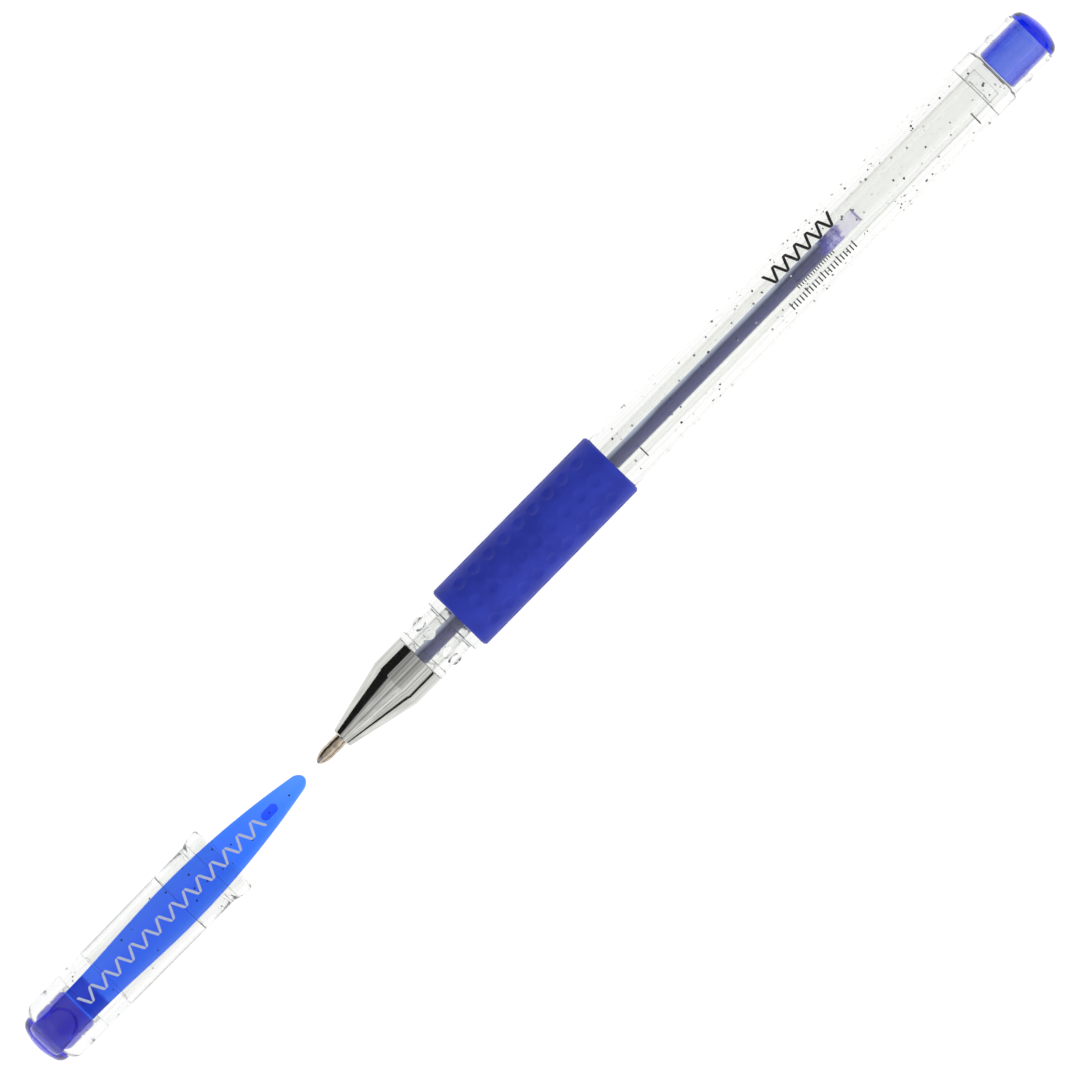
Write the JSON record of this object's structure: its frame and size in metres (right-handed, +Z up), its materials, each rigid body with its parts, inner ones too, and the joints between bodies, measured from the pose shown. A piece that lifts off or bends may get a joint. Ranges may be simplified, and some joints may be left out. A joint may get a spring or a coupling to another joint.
{
  "type": "capped gel pen",
  "caption": "Capped gel pen with a clear round barrel, dimpled soft grip, chromed nose cone, ink refill with follower, end plug and a clear cap that slides on and carries a flexing clip.",
  "frame": {"origin": "on the surface that the pen lies on, under the middle of the whole object with its cap off", "axes": "+X along the pen from the crown to the end plug, +Z up through the clip, Y across"},
  "size_m": [0.1954, 0.011, 0.0137],
  "materials": {
    "clear_shell": "clear polished polystyrene with sparse glitter flecks",
    "grip_rubber": "matte moulded thermoplastic rubber, blue",
    "chrome_plate": "bright chrome plating on plastic",
    "blue_tint": "translucent royal blue, polished",
    "blue_clip": "translucent bright blue with glitter flecks, polished",
    "refill_plastic": "translucent polypropylene tube",
    "holder_plastic": "natural moulded plastic",
    "tip_metal": "turned nickel silver, tan",
    "ball_carbide": "polished tungsten carbide wetted with ink",
    "gel_ink": "dark blue gel ink",
    "follower_grease": "clear grease, faintly lilac",
    "seal_rubber": "soft white seal"
  },
  "bodies": {
    "pen": {"barrel": "clear_shell", "grip": "grip_rubber", "end_plug": "blue_tint", "refill_tube": "refill_plastic", "tip_holder": "holder_plastic", "tip_body": "tip_metal", "ink_column": "gel_ink"},
    "cone": {"nose_cone": "chrome_plate"},
    "ball": {"writing_ball": "ball_carbide"},
    "follower": {"ink_follower": "follower_grease"},
    "cap": {"cap_shell": "clear_shell", "tip_seal": "seal_rubber", "crown": "blue_tint"},
    "clip": {"clip_arm": "blue_clip"}
  },
  "joints": [
    {"name": "cap_slide", "type": "slide", "parent": "pen", "child": "cap", "axis": [1, 0, 0], "range_m": [0, 0.04565]},
    {"name": "clip_flex", "type": "hinge", "parent": "cap", "child": "clip", "pos_m": [-0.0929, 0, 0.01205], "axis": [0, -1, 0], "range_deg": [0, 3], "stiffness_Nm_per_rad": 0.5},
    {"name": "cone_unscrew", "type": "slide", "parent": "pen", "child": "cone", "axis": [1, 0, 0], "range_m": [-0.0044, 0]},
    {"name": "follower_travel", "type": "slide", "parent": "pen", "child": "follower", "axis": [1, 0, 0], "range_m": [-0.0811, 0], "deforming": ["ink_column"]},
    {"name": "ball_roll", "type": "hinge", "parent": "pen", "child": "ball", "pos_m": [-0.04295, 0, 0.0055], "axis": [0, 1, 0], "continuous": true}
  ]
}
